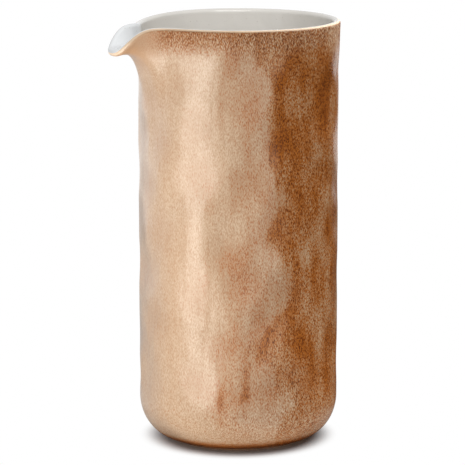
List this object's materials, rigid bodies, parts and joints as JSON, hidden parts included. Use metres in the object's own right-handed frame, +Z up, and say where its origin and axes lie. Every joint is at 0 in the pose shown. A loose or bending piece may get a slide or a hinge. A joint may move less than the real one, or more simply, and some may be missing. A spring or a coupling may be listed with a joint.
{
  "type": "stoneware crock jug",
  "caption": "Tall straight-sided stoneware jug with a pulled pouring lip and no handle, hammered outside under brown glaze, white inside, standing on a bare foot ring.",
  "frame": {"origin": "centre of the foot ring, in the plane of the table", "axes": "+Z up along the jug's axis, the pouring lip towards -X"},
  "size_m": [0.1168, 0.0974, 0.2039],
  "materials": {
    "stoneware": "matte fired clay",
    "bare_stoneware": "matte, ground smooth",
    "white_glaze": "gloss",
    "brown_glaze": "satin, speckled"
  },
  "bodies": {
    "root": {"clay_body": "stoneware", "foot_ring": "bare_stoneware", "liner_glaze": "white_glaze", "outer_glaze": "brown_glaze"}
  },
  "joints": []
}
